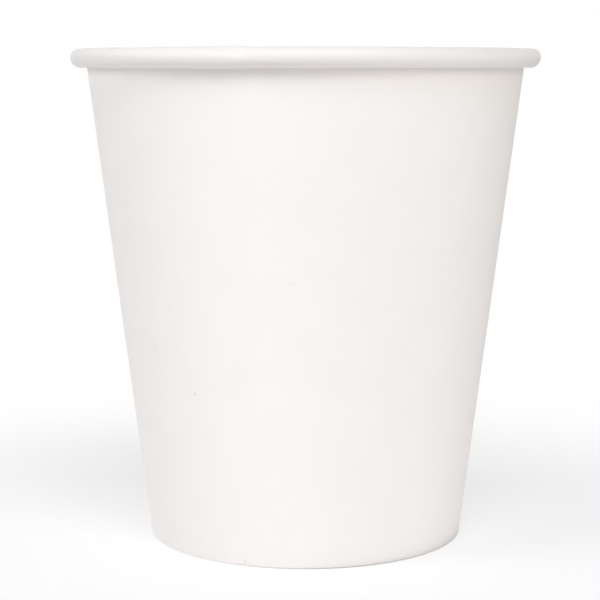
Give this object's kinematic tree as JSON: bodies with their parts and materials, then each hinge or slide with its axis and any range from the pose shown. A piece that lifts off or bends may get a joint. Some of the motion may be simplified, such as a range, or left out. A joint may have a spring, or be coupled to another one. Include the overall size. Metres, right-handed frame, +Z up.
{
  "type": "paper coffee cup",
  "caption": "Tapered single-wall paper cup for hot drinks, with a rolled rim, a lapped side seam and a recessed bottom disc held in a folded hem.",
  "frame": {"origin": "centre of the base on the ground plane, on the cup's axis", "axes": "+Z up along the cup's axis towards the mouth; -Y is the front, with the side seam a little to its left"},
  "size_m": [0.09, 0.09, 0.0944],
  "materials": {
    "wall_board": "uncoated white board outside, thin clear coating inside and over the rolled rim",
    "base_board": "white board with a thin clear coating on the side that meets the drink"
  },
  "bodies": {
    "root": {"sidewall": "wall_board", "bottom_disc": "base_board"}
  },
  "joints": []
}
